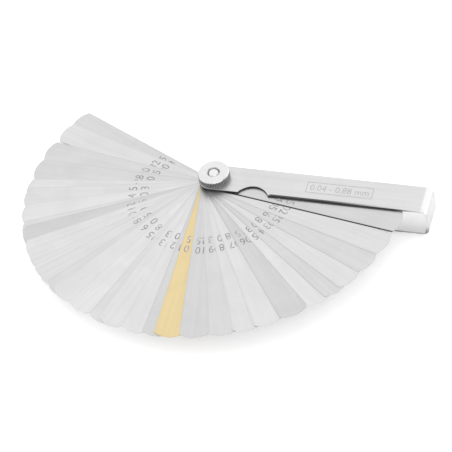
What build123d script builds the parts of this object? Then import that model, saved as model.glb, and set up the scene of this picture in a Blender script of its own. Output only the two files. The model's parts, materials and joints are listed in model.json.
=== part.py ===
from build123d import *
import os
from math import cos, pi, sin, sqrt

os.makedirs("parts", exist_ok=True)

# A pocket feeler gauge: a U-shaped steel case with a fan of thickness blades on one pivot post.
# Origin: the pivot's axis at the case's underside. +X runs to the closed end, +Z is up.

# ---- case, one strip bent into a U and lying on its side
case_width = 14.7
case_height = 14.95
case_end_x = 99.0          # outer face of the closed end
sheet = 1.0
bend_outer_radius = 3.5
case_edge_break = 0.12
notch_centre_x = 19.8      # thumb notch in both plates, on the side the blades open to
notch_half_chord = 7.0
notch_depth = 4.3

# ---- blades
blade_width = 12.7
blade_reach = 90.0         # pivot axis to tip
tip_arc_radius = 11.0
tip_corner_radius = 0.8
layer_gap = 0.02           # free space above and below each blade

# Top of the stack first: thickness in mm, and the angle each blade is fanned out to.
blades = [
    ("0_04mm", 0.04, -8.8), ("0_05mm", 0.05, -17.8), ("0_06mm", 0.06, -25.6),
    ("0_08mm", 0.08, -33.0), ("0_10mm", 0.10, -38.0), ("0_13mm", 0.13, -43.4),
    ("0_15mm", 0.15, -51.8), ("0_18mm", 0.18, -59.2), ("0_20mm", 0.20, -65.2),
    ("0_23mm", 0.23, -71.8), ("0_25mm", 0.25, -80.2), ("0_25mm_brass", 0.25, -87.5),
    ("0_28mm", 0.28, -90.9), ("0_30mm", 0.30, -97.5), ("0_33mm", 0.33, -105.2),
    ("0_35mm", 0.35, -108.5), ("0_38mm", 0.38, -116.6), ("0_40mm", 0.40, -124.6),
    ("0_43mm", 0.43, -127.7), ("0_45mm", 0.45, -133.8), ("0_48mm", 0.48, -137.4),
    ("0_50mm", 0.50, -142.5), ("0_53mm", 0.53, -146.8), ("0_55mm", 0.55, -152.6),
    ("0_58mm", 0.58, -155.0), ("0_60mm", 0.60, -161.9), ("0_63mm", 0.63, -169.1),
    ("0_65mm", 0.65, -173.2), ("0_70mm", 0.70, -181.7), ("0_75mm", 0.75, -189.8),
    ("0_80mm", 0.80, -199.2), ("0_88mm", 0.88, -205.2),
]

# ---- pivot post, staked flush into the lower plate
post_radius = 2.5
running_clearance = 0.05
press_clearance = 0.01
post_head_radius = 4.0
post_end_chamfer = 0.5
post_end_drop = 0.25       # the post's end lies this far below the nut's face

# ---- knurled nut
nut_radius = 7.2
nut_height = 3.3
nut_chamfer = 0.45
nut_mouth_radius = 3.0     # countersink of the bore at the upper face
knurl_teeth = 60
knurl_depth = 0.28
nut_gap = 0.02

# ---- derived
half_width = case_width / 2
bend_inner_radius = bend_outer_radius - sheet
inner_end_x = case_end_x - sheet
blade_half_width = blade_width / 2
hole_radius = post_radius + running_clearance
nut_bottom = case_height + nut_gap
nut_top = nut_bottom + nut_height
post_top = nut_top - post_end_drop
stack_top = case_height - sheet


def save(solid, node):
    solid.label = node
    export_step(solid, f"parts/{node}.step")


def cylinder(radius, bottom, top, x=0.0, y=0.0):
    return extrude(Pos(x, y, bottom) * Circle(radius), amount=top - bottom)


def plate_outline():
    """Plan view of the case: straight sides, round about the pivot, square at the closed end."""
    straight = Pos(case_end_x / 2, 0) * Rectangle(case_end_x, case_width)
    return straight + Circle(half_width)


def make_case():
    body = extrude(plate_outline(), amount=case_height)

    # round the two bends at the closed end
    bends = body.edges().filter_by(Axis.Y).group_by(Axis.X)[-1]
    body = fillet(bends, bend_outer_radius)

    # the space the blades fold into, open along both long sides and at the pivot end
    length = inner_end_x + case_width
    space = Pos(inner_end_x - length / 2, 0, case_height / 2) * Box(
        length, 2 * case_width, case_height - 2 * sheet)
    far_edges = space.edges().filter_by(Axis.Y).group_by(Axis.X)[-1]
    body -= fillet(far_edges, bend_inner_radius)

    # thumb notch through both plates
    notch_radius = (notch_half_chord ** 2 + notch_depth ** 2) / (2 * notch_depth)
    notch_y = -half_width + notch_depth - notch_radius
    body -= cylinder(notch_radius, 0, case_height, notch_centre_x, notch_y)

    # clearance hole in the top plate, countersunk seat for the post in the lower one
    body -= cylinder(hole_radius, stack_top, case_height)
    body -= Pos(0, 0, sheet / 2) * Cone(
        post_head_radius + press_clearance, post_radius + press_clearance, sheet)

    # break the outer arris of each plate
    rims = body.faces().filter_by(Plane.XY).sort_by(Axis.Z)
    outer = [e for face in (rims[0], rims[-1]) for e in face.outer_wire().edges()
             if e.center().X < case_end_x - bend_outer_radius - case_edge_break]
    return chamfer(outer, case_edge_break)


def make_post():
    head = Pos(0, 0, sheet / 2) * Cone(post_head_radius, post_radius, sheet)
    shank = cylinder(post_radius, sheet, post_top)
    shank = chamfer(shank.edges().sort_by(Axis.Z)[-1], post_end_chamfer)
    return head + shank


def make_nut():
    # one knurl tooth is a shallow V, so the plan is a ring of alternating crest and root points
    step = pi / knurl_teeth
    points = []
    for i in range(2 * knurl_teeth):
        radius = nut_radius - knurl_depth * (i % 2)
        points.append((radius * cos(i * step), radius * sin(i * step)))
    body = extrude(Pos(0, 0, nut_bottom) * make_face(Polyline(*points, close=True)), amount=nut_height)

    # bevel both rims with a turned blank
    blank = cylinder(nut_radius, nut_bottom, nut_top)
    body &= chamfer(blank.edges().filter_by(GeomType.CIRCLE), nut_chamfer)

    body -= cylinder(hole_radius, nut_bottom, nut_top)
    mouth_depth = nut_mouth_radius - hole_radius
    body -= Pos(0, 0, nut_top - mouth_depth / 2) * Cone(hole_radius, nut_mouth_radius, mouth_depth)
    return body


def blade_outline():
    """Plan view of a blade along +X: round about the pivot, with a shallow arc for a tip."""
    arc_centre = blade_reach - tip_arc_radius
    arc_side = sqrt(tip_arc_radius ** 2 - blade_half_width ** 2)
    shoulder = arc_centre + arc_side
    lines = [
        Line((0, blade_half_width), (shoulder, blade_half_width)),
        ThreePointArc((shoulder, blade_half_width), (blade_reach, 0), (shoulder, -blade_half_width)),
        Line((shoulder, -blade_half_width), (0, -blade_half_width)),
        ThreePointArc((0, -blade_half_width), (-blade_half_width, 0), (0, blade_half_width)),
    ]
    face = make_face(lines)
    corners = face.vertices().group_by(Axis.X)[-1]
    face = fillet(corners, tip_corner_radius)
    return face - Circle(hole_radius)


save(make_case(), "case")
save(make_post(), "pivot_post")
save(make_nut(), "knurled_nut")

outline = blade_outline()
top = stack_top - layer_gap
for size, thickness, angle in blades:
    blade = extrude(outline, amount=thickness)
    save(Pos(0, 0, top - thickness) * Rot(0, 0, angle) * blade, f"blade_{size}")
    top -= thickness + layer_gap
print("blades:", len(blades), " free height left above the lower plate:", round(top + layer_gap - sheet, 4))
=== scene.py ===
import bmesh
import bpy
import json
from math import cos, radians, sin
from mathutils import Matrix, Vector


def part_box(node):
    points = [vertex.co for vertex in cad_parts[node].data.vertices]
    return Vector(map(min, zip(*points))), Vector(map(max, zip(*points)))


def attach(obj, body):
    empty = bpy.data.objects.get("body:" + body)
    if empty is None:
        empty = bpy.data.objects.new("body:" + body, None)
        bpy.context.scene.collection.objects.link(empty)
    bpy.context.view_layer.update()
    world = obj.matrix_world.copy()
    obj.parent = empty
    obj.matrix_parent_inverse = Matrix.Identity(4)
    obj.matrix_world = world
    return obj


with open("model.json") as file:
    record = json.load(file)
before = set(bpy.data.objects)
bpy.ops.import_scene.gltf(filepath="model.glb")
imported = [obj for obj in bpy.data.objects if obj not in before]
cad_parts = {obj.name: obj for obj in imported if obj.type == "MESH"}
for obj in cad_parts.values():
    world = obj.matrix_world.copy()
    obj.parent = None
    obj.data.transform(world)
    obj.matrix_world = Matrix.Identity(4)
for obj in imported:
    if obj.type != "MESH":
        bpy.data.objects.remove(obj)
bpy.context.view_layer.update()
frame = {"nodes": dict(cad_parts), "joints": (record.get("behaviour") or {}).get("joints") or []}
nodes = frame["nodes"]
print("frame loaded:", len(nodes), "CAD nodes")


# camera and studio

cameraPlace = {
    "aim": (0.007448, -0.015230, 0.0),
    "distance": 0.96098,
    "azimuth": 24.909,
    "elevation": 47.397,
    "roll": -12.386,
    "lens": 170.716,
}

studio = {
    "floorColour": (0.93, 0.93, 0.93),
    "floorHalfSide": 3.0,
    "floorGlow": 0.25,    # the sweep is lit from beneath too, which keeps shadows faint
    "worldColour": (1.0, 1.0, 1.0),
    "worldStrength": 0.7,
    # name, azimuth it stands at, elevation, distance, side, power in watts
    "softboxes": [
        ("backSoftbox", 204.9, 47.4, 0.95, 1.2, 2.9),
        ("overheadSoftbox", 120.0, 88.0, 1.2, 0.8, 0.8),
        ("rightSoftbox", 137.0, 26.0, 0.9, 1.0, 3.6),
        ("leftSoftbox", 285.0, 35.0, 1.0, 1.0, 2.8),
        ("cameraSideSoftbox", 40.0, 35.0, 1.0, 1.0, 2.8),
        ("frontSoftbox", 350.0, 20.0, 1.0, 0.8, 1.6),
    ],
}


def direction(azimuth, elevation):
    a, e = radians(azimuth), radians(elevation)
    return Vector((sin(a) * cos(e), -cos(a) * cos(e), sin(e)))


def lookFrom(obj, place, back, roll=0.0):
    right = (-back).cross(Vector((0, 0, 1))).normalized()
    up = right.cross(-back)
    turn = radians(roll)
    sideways = cos(turn) * right + sin(turn) * up
    upwards = -sin(turn) * right + cos(turn) * up
    axes = Matrix((sideways, upwards, back)).transposed()
    obj.matrix_world = Matrix.Translation(place) @ axes.to_4x4()


def makeCamera():
    back = direction(cameraPlace["azimuth"], cameraPlace["elevation"])
    data = bpy.data.cameras.new("benchCamera")
    data.sensor_width = 36.0
    data.lens = cameraPlace["lens"]
    data.clip_start, data.clip_end = 0.01, 20.0
    obj = bpy.data.objects.new("benchCamera", data)
    bpy.context.scene.collection.objects.link(obj)
    lookFrom(obj, Vector(cameraPlace["aim"]) + back * cameraPlace["distance"], back, cameraPlace["roll"])
    bpy.context.scene.camera = obj


def makeStudio():
    for name, azimuth, elevation, distance, side, power in studio["softboxes"]:
        back = direction(azimuth, elevation)
        data = bpy.data.lights.new(name, "AREA")
        data.shape = "SQUARE"
        data.size = side
        data.energy = power
        obj = bpy.data.objects.new(name, data)
        bpy.context.scene.collection.objects.link(obj)
        lookFrom(obj, back * distance, back)

    world = bpy.data.worlds.new("studioWorld")
    world.use_nodes = True
    background = world.node_tree.nodes["Background"]
    background.inputs["Color"].default_value = (*studio["worldColour"], 1)
    background.inputs["Strength"].default_value = studio["worldStrength"]
    bpy.context.scene.world = world
    bpy.context.scene.view_settings.view_transform = "Standard"

    bm = bmesh.new()
    bmesh.ops.create_grid(bm, x_segments=1, y_segments=1, size=studio["floorHalfSide"])
    mesh = bpy.data.meshes.new("paleFloor")
    bm.to_mesh(mesh)
    bm.free()
    floor = bpy.data.objects.new("paleFloor", mesh)
    bpy.context.scene.collection.objects.link(floor)
    paint = bpy.data.materials.new("paleFloorPaint")
    paint.use_nodes = True
    shader = paint.node_tree.nodes["Principled BSDF"]
    shader.inputs["Base Color"].default_value = (*studio["floorColour"], 1)
    shader.inputs["Roughness"].default_value = 0.8
    shader.inputs["Specular IOR Level"].default_value = 0.1
    shader.inputs["Emission Color"].default_value = (1, 1, 1, 1)
    shader.inputs["Emission Strength"].default_value = studio["floorGlow"]
    floor.data.materials.append(paint)


makeCamera()
makeStudio()
print("camera, lights and floor made")


# helpers for node trees

def addNode(tree, kind, inputs=None, **settings):
    node = tree.nodes.new(kind)
    for name, value in settings.items():
        setattr(node, name, value)
    for socket, value in (inputs or {}).items():
        if isinstance(value, bpy.types.NodeSocket):
            tree.links.new(value, node.inputs[socket])
        else:
            node.inputs[socket].default_value = value
    return node


def calc(tree, operation, first, second=0.0, third=0.0):
    node = addNode(tree, "ShaderNodeMath", {0: first, 1: second, 2: third}, operation=operation)
    return node.outputs[0]


def ramp(tree, value, low, high, outLow=0.0, outHigh=1.0):
    # smooth step of a value from low..high to outLow..outHigh
    node = addNode(tree, "ShaderNodeMapRange", {"Value": value, "From Min": low, "From Max": high,
                   "To Min": outLow, "To Max": outHigh}, interpolation_type="SMOOTHSTEP")
    return node.outputs["Result"]


def mixColour(tree, factor, first, second):
    # sockets 6 and 7 are the two colours, output 2 the mixed one
    node = tree.nodes.new("ShaderNodeMix")
    node.data_type = "RGBA"
    for socket, value in ((0, factor), (6, first), (7, second)):
        if isinstance(value, bpy.types.NodeSocket):
            tree.links.new(value, node.inputs[socket])
        else:
            node.inputs[socket].default_value = value
    return node.outputs[2]


def times(tree, *factors):
    product = factors[0]
    for factor in factors[1:]:
        product = calc(tree, "MULTIPLY", product, factor)
    return product


def layer(tree, mask, strength, under, over):
    # lays one colour over another where the mask is, no stronger than strength
    return mixColour(tree, times(tree, mask, strength), under, over)


def newGroup(name, inputs, outputs):
    group = bpy.data.node_groups.new(name, "ShaderNodeTree")
    for label, kind, value in inputs:
        socket = group.interface.new_socket(name=label, in_out="INPUT", socket_type=kind)
        if value is not None:
            socket.default_value = value
    for label, kind in outputs:
        group.interface.new_socket(name=label, in_out="OUTPUT", socket_type=kind)
    return group, group.nodes.new("NodeGroupInput").outputs, group.nodes.new("NodeGroupOutput").inputs


def useGroup(tree, group, inputs):
    return addNode(tree, "ShaderNodeGroup", inputs, node_tree=group)


def makeGrainGroup():
    # fine lines that run along X of the vector: rolled, ground or turned metal
    group, given, out = newGroup("metalGrain", [
        ("Vector", "NodeSocketVector", None),
        ("Along", "NodeSocketFloat", 60.0),
        ("Across", "NodeSocketFloat", 6000.0),
        ("Seed", "NodeSocketFloat", 0.0),
    ], [("Grain", "NodeSocketFloat"), ("Band", "NodeSocketFloat")])
    split = addNode(group, "ShaderNodeSeparateXYZ", {0: given["Vector"]}).outputs
    fineX = calc(group, "MULTIPLY", split["X"], given["Along"])
    fineY = calc(group, "MULTIPLY", split["Y"], given["Across"])
    fine = addNode(group, "ShaderNodeCombineXYZ", {"X": fineX, "Y": fineY, "Z": given["Seed"]}).outputs[0]
    lines = addNode(group, "ShaderNodeTexNoise", {"Vector": fine, "Scale": 1.0,
                    "Detail": 3.0, "Roughness": 0.65})
    # broader bands of the same direction, from uneven passes of the grinding belt
    coarseX = calc(group, "MULTIPLY", fineX, 0.35)
    coarseY = calc(group, "MULTIPLY", fineY, 0.09)
    coarse = addNode(group, "ShaderNodeCombineXYZ", {"X": coarseX, "Y": coarseY,
                     "Z": given["Seed"]}).outputs[0]
    bands = addNode(group, "ShaderNodeTexNoise", {"Vector": coarse, "Scale": 1.0,
                    "Detail": 2.0, "Roughness": 0.5})
    group.links.new(ramp(group, lines.outputs[0], 0.3, 0.7), out["Grain"])
    group.links.new(ramp(group, bands.outputs[0], 0.32, 0.68), out["Band"])
    return group


def makeHandlingGroup():
    # finger smudges, hairline scratches and small pits
    group, given, out = newGroup("handlingMarks", [
        ("Vector", "NodeSocketVector", None),
        ("Smudge Scale", "NodeSocketFloat", 55.0),
        ("Seed", "NodeSocketFloat", 0.0),
    ], [("Smudge", "NodeSocketFloat"), ("Scratch", "NodeSocketFloat"), ("Pit", "NodeSocketFloat")])
    drift = addNode(group, "ShaderNodeCombineXYZ", {axis: given["Seed"] for axis in "XYZ"}).outputs[0]
    drift = addNode(group, "ShaderNodeVectorMath", {0: drift, 1: (0.137, 0.071, 0.053)},
                    operation="MULTIPLY").outputs[0]
    place = addNode(group, "ShaderNodeVectorMath", {0: given["Vector"], 1: drift}, operation="ADD").outputs[0]
    smudge = addNode(group, "ShaderNodeTexNoise", {"Vector": place, "Scale": given["Smudge Scale"],
                     "Detail": 4.0, "Roughness": 0.55, "Distortion": 0.8}).outputs[0]
    group.links.new(ramp(group, smudge, 0.38, 0.66), out["Smudge"])

    scratch = None
    for turn, along, across, low in ((0.31, 45.0, 2600.0, 0.69), (-0.52, 60.0, 3300.0, 0.71)):
        slanted = addNode(group, "ShaderNodeMapping", {"Vector": place, "Rotation": (0, 0, turn),
                          "Scale": (along, across, 400.0)}).outputs[0]
        noise = addNode(group, "ShaderNodeTexNoise", {"Vector": slanted, "Scale": 1.0,
                        "Detail": 1.5}).outputs[0]
        line = ramp(group, noise, low, low + 0.05)
        scratch = line if scratch is None else calc(group, "MAXIMUM", scratch, line)
    group.links.new(scratch, out["Scratch"])

    cells = addNode(group, "ShaderNodeTexVoronoi", {"Vector": place, "Scale": 420.0}).outputs["Distance"]
    group.links.new(ramp(group, cells, 0.06, 0.12, 1.0, 0.0), out["Pit"])
    return group


def makeBladeRimGroup():
    # distance bands inside a blade's outline; the vector's X runs from the pivot to the tip
    group, given, out = newGroup("bladeRim", [
        ("Vector", "NodeSocketVector", None),
        ("Half Width", "NodeSocketFloat", 0.00635),
        ("Reach", "NodeSocketFloat", 0.09),
        ("Tip Radius", "NodeSocketFloat", 0.011),
        ("Band Width", "NodeSocketFloat", 0.0004),
    ], [("Rim", "NodeSocketFloat"), ("Front", "NodeSocketFloat"), ("Pivot", "NodeSocketFloat")])
    split = addNode(group, "ShaderNodeSeparateXYZ", {0: given["Vector"]}).outputs
    aside = calc(group, "ABSOLUTE", split["Y"])
    toSide = calc(group, "SUBTRACT", given["Half Width"], aside)
    arcCentre = calc(group, "SUBTRACT", given["Reach"], given["Tip Radius"])
    pastCentre = calc(group, "MAXIMUM", calc(group, "SUBTRACT", split["X"], arcCentre), 0.0)
    fromArc = addNode(group, "ShaderNodeCombineXYZ", {"X": pastCentre, "Y": split["Y"], "Z": 0.0}).outputs[0]
    arcRadius = addNode(group, "ShaderNodeVectorMath", {0: fromArc}, operation="LENGTH").outputs["Value"]
    toTip = calc(group, "SUBTRACT", given["Tip Radius"], arcRadius)
    nearest = calc(group, "MINIMUM", toSide, toTip)
    closeness = calc(group, "DIVIDE", nearest, given["Band Width"])
    group.links.new(ramp(group, closeness, 0.0, 1.0, 1.0, 0.0), out["Rim"])
    front = calc(group, "ADD", split["Y"], given["Half Width"])
    frontBands = calc(group, "DIVIDE", front, given["Band Width"])
    group.links.new(ramp(group, frontBands, 1.2, 2.2, 1.0, 0.0), out["Front"])
    flat = addNode(group, "ShaderNodeCombineXYZ", {"X": split["X"], "Y": split["Y"], "Z": 0.0}).outputs[0]
    radius = addNode(group, "ShaderNodeVectorMath", {0: flat}, operation="LENGTH").outputs["Value"]
    group.links.new(ramp(group, radius, 0.006, 0.016, 1.0, 0.0), out["Pivot"])
    return group


grainGroup = makeGrainGroup()
handlingGroup = makeHandlingGroup()
bladeRimGroup = makeBladeRimGroup()
print("shared finishes made")


def newFinish(name, roughness, metallic=1.0):
    metal = bpy.data.materials.new(name)
    metal.use_nodes = True
    tree = metal.node_tree
    shader = tree.nodes["Principled BSDF"]
    shader.inputs["Metallic"].default_value = metallic
    shader.inputs["Roughness"].default_value = roughness
    place = tree.nodes.new("ShaderNodeTexCoord").outputs
    return metal, tree, shader.inputs, place


def bumpInto(tree, sockets, height, distance):
    bump = addNode(tree, "ShaderNodeBump", {"Height": height, "Distance": distance, "Strength": 1.0})
    tree.links.new(bump.outputs[0], sockets["Normal"])


def shade(colour, factor):
    return (*[min(1.0, c * factor) for c in colour], 1)


def wearMetal(vector, tree, sockets, look, seed):
    # the finish that every flat metal piece shares: grain, smudges, scratches and pits
    grain = useGroup(tree, grainGroup, {"Vector": vector, "Along": look["grainAlong"],
                     "Across": look["grainAcross"], "Seed": seed}).outputs
    marks = useGroup(tree, handlingGroup, {"Vector": vector, "Smudge Scale": look["smudgeScale"],
                     "Seed": seed}).outputs
    colour = mixColour(tree, grain["Band"], shade(look["colour"], 0.975), shade(look["colour"], 1.02))
    colour = layer(tree, marks["Smudge"], look["smudge"], colour, shade(look["colour"], 0.86))
    colour = layer(tree, marks["Pit"], look["pits"], colour, shade(look["colour"], 0.55))
    colour = layer(tree, marks["Scratch"], look["scratches"], colour, shade(look["colour"], 1.12))
    rough = calc(tree, "MULTIPLY_ADD", grain["Grain"], look["grainRoughness"], look["roughness"])
    rough = calc(tree, "MULTIPLY_ADD", marks["Smudge"], look["smudgeRoughness"], rough)
    rough = calc(tree, "MULTIPLY_ADD", marks["Scratch"], 0.08, rough)
    height = calc(tree, "MULTIPLY_ADD", marks["Scratch"], -0.6, grain["Grain"])
    height = calc(tree, "MULTIPLY_ADD", marks["Pit"], -1.0, height)
    bumpInto(tree, sockets, height, look["grainDepth"])
    return colour, rough


# blades

bladeLook = {
    "colour": (0.57, 0.57, 0.57),
    "roughness": 0.27,
    "grainAlong": 70.0,
    "grainAcross": 7000.0,
    "grainRoughness": 0.07,
    "grainDepth": 0.0000012,
    "smudge": 0.25,
    "smudgeScale": 48.0,
    "smudgeRoughness": 0.07,
    "scratches": 0.5,
    "pits": 0.35,
    "rimDark": 0.10,
    "rimWidth": 0.0004,
}
brassColour = (0.60, 0.485, 0.275)
bladeShape = {"halfWidth": 0.00635, "reach": 0.09, "tipRadius": 0.011}

# a brightness factor on each blade's colour, from the thinnest down
bladeTones = [0.9, 0.98, 0.93, 1.0, 0.93, 1.04, 0.89, 1.02, 1.0, 0.95, 0.9, 1.05, 0.91, 1.03, 1.03, 0.99,
              1.05, 1.02, 0.96, 0.99, 1.0, 1.02, 1.03, 0.88, 0.98, 1.04, 0.99, 1.02, 0.94, 0.95, 1.0, 0.94]

bladeAngles = {}    # the angle each blade is fanned out to, from the record's joint limits
for joint in frame["joints"]:
    if joint["child"].startswith("blade_"):
        bladeAngles[joint["child"]] = -joint["range_deg"][1]
bladeNames = sorted(bladeAngles, key=lambda name: -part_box(name)[1].z)


def makeBladeMetal(name, angle, tone, colour, frontShadowLine, pivotOilAndShade, seed):
    metal, tree, sockets, place = newFinish(name + "_metal", bladeLook["roughness"])
    look = dict(bladeLook, colour=[c * tone for c in colour])
    along = addNode(tree, "ShaderNodeMapping", {"Vector": place["Object"],
                    "Rotation": (0, 0, radians(-angle))}).outputs[0]
    tint, rough = wearMetal(along, tree, sockets, look, seed)
    rim = useGroup(tree, bladeRimGroup, {"Vector": along, "Half Width": bladeShape["halfWidth"],
                   "Reach": bladeShape["reach"], "Tip Radius": bladeShape["tipRadius"],
                   "Band Width": bladeLook["rimWidth"]}).outputs
    tint = layer(tree, rim["Rim"], bladeLook["rimDark"], tint, shade(look["colour"], 0.5))
    # painted shadow: a dark line along the blade's front edge, full on the top blade and faint on the rest
    tint = layer(tree, rim["Front"], frontShadowLine, tint, shade(look["colour"], 0.10))
    # darker near the pivot: oil, and painted shadow from the nut and upper plate on the top blades
    tint = layer(tree, rim["Pivot"], pivotOilAndShade, tint, shade(look["colour"], 0.45))
    tree.links.new(tint, sockets["Base Color"])
    tree.links.new(rough, sockets["Roughness"])
    return metal


for number, name in enumerate(bladeNames):
    colour = brassColour if "brass" in name else bladeLook["colour"]
    # painted shadow along the front edge: full on the top blade, faint on the others
    frontShadowLine = 1.0 if number == 0 else 0.04
    # oil and painted shadow near the pivot, strong on the top nine blades
    pivotOilAndShade = 0.65 if number < 9 else 0.12
    metal = makeBladeMetal(name, bladeAngles[name], bladeTones[number], colour, frontShadowLine, pivotOilAndShade,
                           seed=3.7 * number + 1.0)
    nodes[name].material_slots[0].material = metal
print("blades finished:", len(bladeNames))


# figures on the blades: inches in the outer row, millimetres in the inner one

figures = {
    "height": 0.0039,
    "stretch": 0.92,
    "rowRadii": (0.0380, 0.0325),    # baseline of each row, from the pivot
    "rightEdge": 0.0045,             # how far the last digit reaches to the clockwise side
    "proud": 0.000005,
    "sunk": 0.000003,
    "ink": (0.20, 0.20, 0.21),
    "faded": (0.52, 0.52, 0.52),
}
markThickness = figures["proud"] + figures["sunk"]
markLift = (figures["proud"] - figures["sunk"]) / 2    # middle of the marks above the surface
# how much further out each blade was stamped, in mm
stampShift = [-1.3, -1.0, -0.6, -0.9, 0.0, 0.9, 0.8, 0.7, 0.8, 1.0, 1.4, 0.9, 0.5, 0.2, 0.6, 0.2,
              -0.1, -1.0, -0.9, -0.6, -0.4, -0.3, -0.5, -0.6, -0.7, -0.9, -0.6, -0.5, -0.7, -1.0, -2.0, -2.2]
inchSizes = ["0015", "002", "0025", "003", "004", "005", "006", "007", "008", "009", "010", "010", "011", "012",
             "013", "014", "015", "016", "017", "018", "019", "020", "021", "022", "023", "024", "025", "026",
             "028", "030", "032", "035"]


def flatText(body, name, height, stretch, thickness):
    # letters of unit size made a mesh, then scaled to a digit height; right edge and baseline at the origin
    curve = bpy.data.curves.new(name, "FONT")
    curve.body = body
    curve.align_x = "RIGHT"
    curve.size = 1.0
    curve.extrude = 0.5
    curve.resolution_u = 3
    obj = bpy.data.objects.new(name, curve)
    bpy.context.scene.collection.objects.link(obj)
    bpy.context.view_layer.update()
    mesh = bpy.data.meshes.new_from_object(obj.evaluated_get(bpy.context.evaluated_depsgraph_get()))
    bpy.data.objects.remove(obj)
    bpy.data.curves.remove(curve)
    right = max(v.co.x for v in mesh.vertices)
    tall = max(v.co.y for v in mesh.vertices)
    scale = height / tall
    toSize = Matrix.Diagonal((scale * stretch, scale, thickness, 1))
    mesh.transform(toSize @ Matrix.Translation((-right, 0, 0)))
    return mesh


def joinText(name, pieces, body, material):
    # pieces is a list of (mesh, matrix); one object at the origin that rides on a body
    bm = bmesh.new()
    for mesh, place in pieces:
        mesh.transform(place)
        bm.from_mesh(mesh)
        bpy.data.meshes.remove(mesh)
    bmesh.ops.remove_doubles(bm, verts=bm.verts, dist=0.0000002)
    bmesh.ops.recalc_face_normals(bm, faces=bm.faces)
    joined = bpy.data.meshes.new(name)
    bm.to_mesh(joined)
    bm.free()
    obj = bpy.data.objects.new(name, joined)
    bpy.context.scene.collection.objects.link(obj)
    joined.materials.append(material)
    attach(obj, body)
    return obj


def makeInk(name, colour, roughness, worn):
    ink, tree, sockets, place = newFinish(name, roughness, 0.0)
    sockets["Specular IOR Level"].default_value = 0.3
    marks = useGroup(tree, handlingGroup, {"Vector": place["Object"], "Smudge Scale": 700.0,
                     "Seed": 5.0}).outputs
    tint = layer(tree, marks["Smudge"], worn, shade(colour, 1.0), shade(colour, 2.0))
    # patches a few millimetres across where the etching has taken less
    patch = addNode(tree, "ShaderNodeTexNoise", {"Vector": place["Object"], "Scale": 330.0,
                    "Detail": 1.0}).outputs[0]
    tint = layer(tree, ramp(tree, patch, 0.48, 0.66), worn, tint, shade(figures["faded"], 1.0))
    tree.links.new(tint, sockets["Base Color"])
    tree.links.new(calc(tree, "MULTIPLY_ADD", marks["Pit"], 0.2, roughness), sockets["Roughness"])
    bumpInto(tree, sockets, marks["Smudge"], 0.000002)
    return ink


bladeInk = makeInk("etchedFigures", figures["ink"], 0.5, 0.5)
for number, name in enumerate(bladeNames):
    angle = radians(bladeAngles[name])
    outward = Vector((cos(angle), sin(angle), 0))
    clockwise = Vector((sin(angle), -cos(angle), 0))
    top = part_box(name)[1].z + markLift
    metric = name.replace("blade_", "").replace("_brass", "").replace("mm", "").replace("_", ".")
    rows = []
    for text, radius in zip(("." + inchSizes[number], metric), figures["rowRadii"]):
        mesh = flatText(text, name + "_row", figures["height"], figures["stretch"], markThickness)
        corner = outward * (radius + stampShift[number] / 1000) + clockwise * figures["rightEdge"]
        corner.z = top
        place = Matrix((clockwise, outward, Vector((0, 0, 1)))).transposed().to_4x4()
        rows.append((mesh, Matrix.Translation(corner) @ place))
    joinText(name.replace("blade_", "figures_"), rows, name, bladeInk)
print("figures marked on", len(bladeNames), "blades")


# case

caseLook = {
    "colour": (0.56, 0.56, 0.56),
    "roughness": 0.30,
    "grainAlong": 45.0,
    "grainAcross": 5200.0,
    "grainRoughness": 0.08,
    "grainDepth": 0.0000018,
    "smudge": 0.18,
    "smudgeScale": 40.0,
    "smudgeRoughness": 0.08,
    "scratches": 0.5,
    "pits": 0.3,
    "insideColour": (0.70, 0.70, 0.70),
    "webColour": (0.60, 0.60, 0.60),
    "cutEdge": (0.07, 0.07, 0.073),    # the sheared edges, painted near-black as shade and dark reflection where the blades lie beside them
    "oilyUpTo": 0.083,
    "lowerEdge": 0.7,
    "endEdge": 0.0,
    # where each part of the finish starts and is full, along X, Y or Z
    "insideBottom": (0.0007, 0.0009),
    "insideTop": (0.0141, 0.0143),
    "insideEnd": (0.0982, 0.0986),
    "bendFrom": (0.0984, 0.0989),
    "grimeX": (0.0966, 0.0978),
    "grimeY": (-0.0068, -0.0050),
    "grimeZ": (0.0010, 0.0065),
    "edgesUpTo": (0.085, 0.086),
    "arrisFrom": (0.0265, 0.0285),
    "arrisFades": (0.050, 0.090),
    "arrisAbove": (0.0143, 0.0148),
    "halfWidth": 0.00735,
    "arrisWidth": 0.0009,    # painted shade: a dark band along the open side of the upper plate
}


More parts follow.
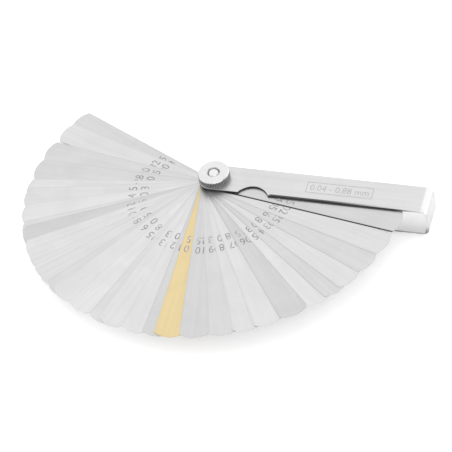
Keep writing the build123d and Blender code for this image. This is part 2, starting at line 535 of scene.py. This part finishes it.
def makeCaseMetal():
    metal, tree, sockets, place = newFinish("caseSteel", caseLook["roughness"])
    tint, rough = wearMetal(place["Object"], tree, sockets, caseLook, 17.0)
    where = addNode(tree, "ShaderNodeSeparateXYZ", {0: place["Object"]}).outputs
    # painted light: the faces the blades lie between are given a brighter colour, standing in for light
    # bouncing in between the plates
    inner = times(tree, ramp(tree, where["Z"], *caseLook["insideBottom"]),
                  ramp(tree, where["Z"], *caseLook["insideTop"], 1.0, 0.0),
                  ramp(tree, where["X"], *caseLook["insideEnd"], 1.0, 0.0))
    tint = mixColour(tree, inner, tint, shade(caseLook["insideColour"], 1.0))
    # painted light: the bend at the far end is brightened too
    bend = ramp(tree, where["X"], *caseLook["bendFrom"])
    tint = layer(tree, bend, 0.8, tint, shade(caseLook["webColour"], 1.0))
    # painted shade: its lower front corner is darkened, standing in for the shadowed floor it mirrors
    grime = times(tree, ramp(tree, where["X"], *caseLook["grimeX"]),
                  ramp(tree, where["Z"], *caseLook["grimeZ"], 0.85, 0.0),
                  ramp(tree, where["Y"], *caseLook["grimeY"], 1.0, 0.0))
    tint = mixColour(tree, grime, tint, shade(caseLook["webColour"], 0.25))
    # the strip's cut edges are duller than its rolled faces, and painted dark as shade and reflection up to
    # where the blades end
    facing = addNode(tree, "ShaderNodeSeparateXYZ", {0: place["Normal"]}).outputs
    upright = ramp(tree, calc(tree, "ABSOLUTE", facing["Z"]), 0.35, 0.6, 1.0, 0.0)
    beforeBend = ramp(tree, where["X"], *caseLook["edgesUpTo"], 1.0, 0.0)
    sideways = ramp(tree, calc(tree, "ABSOLUTE", facing["Y"]), 0.6, 0.8)
    cut = calc(tree, "MAXIMUM", times(tree, upright, beforeBend), sideways)
    low = ramp(tree, where["Z"], 0.0015, 0.0030, caseLook["lowerEdge"], 1.0)
    end = ramp(tree, where["X"], caseLook["oilyUpTo"], caseLook["oilyUpTo"] + 0.012, 1.0, caseLook["endEdge"])
    end = calc(tree, "MAXIMUM", end, ramp(tree, where["Z"], 0.0012, 0.0020, 0.45, 0.0))
    cut = times(tree, cut, low, end)
    shear = addNode(tree, "ShaderNodeTexNoise", {"Vector": addNode(tree, "ShaderNodeVectorMath",
                    {0: place["Object"], 1: (5000.0, 5000.0, 600.0)}, operation="MULTIPLY").outputs[0],
                    "Scale": 1.0, "Detail": 3.0}).outputs[0]
    edgeShadeColour = mixColour(tree, ramp(tree, shear, 0.35, 0.7), shade(caseLook["cutEdge"], 0.8),
                     shade(caseLook["cutEdge"], 1.5))
    tint = mixColour(tree, cut, tint, edgeShadeColour)
    rough = calc(tree, "MULTIPLY_ADD", cut, 0.2, rough)
    # painted shade: a dark band on the upper plate's top along its open side, in the edge colour
    arrisEnd = caseLook["arrisWidth"] - caseLook["halfWidth"]
    inward = ramp(tree, where["Y"], arrisEnd - 0.0003, arrisEnd, 1.0, 0.0)
    arrisShade = times(tree, inward, ramp(tree, where["X"], *caseLook["arrisFrom"]),
                  ramp(tree, where["X"], *caseLook["arrisFades"], 1.0, 0.0),
                  ramp(tree, where["Z"], *caseLook["arrisAbove"]))
    tint = mixColour(tree, arrisShade, tint, edgeShadeColour)
    tree.links.new(tint, sockets["Base Color"])
    tree.links.new(rough, sockets["Roughness"])
    return metal


nodes["case"].material_slots[0].material = makeCaseMetal()

caseMark = {
    "text": "0.04 - 0.88 mm",
    "height": 0.0034,
    "length": 0.0268,
    "rightEnd": (0.0714, -0.0017),
    "frameCentre": (0.0580, 0.0),
    "frameSize": (0.0302, 0.0064),
    "frameLine": 0.00035,
    "ink": (0.33, 0.33, 0.34),
}


def makeFrameLine(name, size, line, thickness):
    # a rectangular outline about the origin, closed all round
    bm = bmesh.new()
    bmesh.ops.create_grid(bm, x_segments=1, y_segments=1, size=0.5, matrix=Matrix.Diagonal((*size, 1, 1)))
    middle = bm.faces[:]
    bmesh.ops.inset_individual(bm, faces=middle, thickness=line, use_even_offset=True)
    bmesh.ops.delete(bm, geom=middle, context="FACES")
    grown = bmesh.ops.extrude_face_region(bm, geom=bm.faces[:])["geom"]
    raised = [part for part in grown if isinstance(part, bmesh.types.BMVert)]
    bmesh.ops.translate(bm, vec=(0, 0, thickness), verts=raised)
    bmesh.ops.translate(bm, vec=(0, 0, -thickness / 2), verts=bm.verts)
    mesh = bpy.data.meshes.new(name)
    bm.to_mesh(mesh)
    bm.free()
    return mesh


mesh = flatText(caseMark["text"], "rangeText", caseMark["height"], 1.0, markThickness)
long = -min(v.co.x for v in mesh.vertices)
spot = Vector((*caseMark["rightEnd"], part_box("case")[1].z + markLift))
place = Matrix.Translation(spot) @ Matrix.Diagonal((caseMark["length"] / long, 1, 1, 1))
outline = makeFrameLine("rangeFrame", caseMark["frameSize"], caseMark["frameLine"], markThickness)
spot = Matrix.Translation((*caseMark["frameCentre"], spot.z))
caseInk = makeInk("caseInk", caseMark["ink"], 0.5, 0.2)
joinText("rangeMark", [(mesh, place), (outline, spot)], "case", caseInk)
print("case finished and marked")


# nut and post

nutLook = {
    "colour": (0.63, 0.63, 0.63),
    "roughness": 0.22,
    "ringScale": 9000.0,
    "ringDepth": 0.0000015,
    # the dark colour for the dirt and painted shade below
    "grime": (0.08, 0.08, 0.083),
    "sideDirt": 0.30,
    "rootDirt": 0.70,
    "outerRadius": 0.0072,
    "knurlDepth": 0.00028,
}
postLook = {"colour": (0.70, 0.70, 0.70), "roughness": 0.28, "ringScale": 7000.0, "ringDepth": 0.000002}


def turnedRings(tree, place, scale, seed):
    # rings about the pivot, as a lathe tool leaves them
    flat = addNode(tree, "ShaderNodeVectorMath", {0: place["Object"], 1: (1, 1, 0)},
                   operation="MULTIPLY").outputs[0]
    radius = addNode(tree, "ShaderNodeVectorMath", {0: flat}, operation="LENGTH").outputs["Value"]
    across = calc(tree, "MULTIPLY", radius, scale)
    line = addNode(tree, "ShaderNodeCombineXYZ", {"X": across, "Y": seed, "Z": 0.0}).outputs[0]
    rings = addNode(tree, "ShaderNodeTexNoise", {"Vector": line, "Scale": 1.0, "Detail": 2.0}).outputs[0]
    return radius, ramp(tree, rings, 0.3, 0.7)


def makeNutMetal():
    metal, tree, sockets, place = newFinish("nickelPlate", nutLook["roughness"])
    radius, rings = turnedRings(tree, place, nutLook["ringScale"], 2.0)
    marks = useGroup(tree, handlingGroup, {"Vector": place["Object"], "Smudge Scale": 180.0,
                     "Seed": 9.0}).outputs
    tint = mixColour(tree, rings, shade(nutLook["colour"], 0.97), shade(nutLook["colour"], 1.03))
    tint = layer(tree, marks["Smudge"], 0.15, tint, shade(nutLook["colour"], 0.8))
    # painted shade darkens the whole knurled side, dirt and painted shade sit in the roots of the knurl, and
    # the mouth of the bore is darker
    outer = nutLook["outerRadius"]
    root = ramp(tree, radius, outer - nutLook["knurlDepth"], outer - 0.00005, 1.0, 0.0)
    facing = addNode(tree, "ShaderNodeSeparateXYZ", {0: place["Normal"]}).outputs
    upright = ramp(tree, calc(tree, "ABSOLUTE", facing["Z"]), 0.3, 0.6, 1.0, 0.0)
    outside = ramp(tree, radius, 0.0060, 0.0064)
    dirtAndShade = calc(tree, "MULTIPLY_ADD", root, nutLook["rootDirt"], nutLook["sideDirt"])
    dirtAndShade = times(tree, dirtAndShade, upright, outside)
    bore = ramp(tree, radius, 0.0028, 0.0031, 1.0, 0.0)
    dirtAndShade = calc(tree, "MAXIMUM", dirtAndShade, calc(tree, "MULTIPLY", bore, 0.5))
    tint = mixColour(tree, dirtAndShade, tint, shade(nutLook["grime"], 1.0))
    tree.links.new(tint, sockets["Base Color"])
    rough = calc(tree, "MULTIPLY_ADD", marks["Smudge"], 0.08, nutLook["roughness"])
    rough = calc(tree, "MULTIPLY_ADD", dirtAndShade, 0.25, rough)
    tree.links.new(rough, sockets["Roughness"])
    height = calc(tree, "MULTIPLY_ADD", marks["Scratch"], -0.5, rings)
    bumpInto(tree, sockets, height, nutLook["ringDepth"])
    return metal


def makePostMetal():
    metal, tree, sockets, place = newFinish("turnedSteel", postLook["roughness"])
    radius, rings = turnedRings(tree, place, postLook["ringScale"], 11.0)
    marks = useGroup(tree, handlingGroup, {"Vector": place["Object"], "Smudge Scale": 260.0,
                     "Seed": 13.0}).outputs
    tint = mixColour(tree, rings, shade(postLook["colour"], 0.93), shade(postLook["colour"], 1.05))
    tint = layer(tree, marks["Smudge"], 0.3, tint, shade(postLook["colour"], 0.7))
    tint = layer(tree, marks["Pit"], 0.4, tint, shade(postLook["colour"], 0.4))
    tree.links.new(tint, sockets["Base Color"])
    rough = calc(tree, "MULTIPLY_ADD", marks["Smudge"], 0.1, postLook["roughness"])
    tree.links.new(rough, sockets["Roughness"])
    bumpInto(tree, sockets, rings, postLook["ringDepth"])
    return metal


nodes["knurled_nut"].material_slots[0].material = makeNutMetal()
nodes["pivot_post"].material_slots[0].material = makePostMetal()
print("nut and post finished")
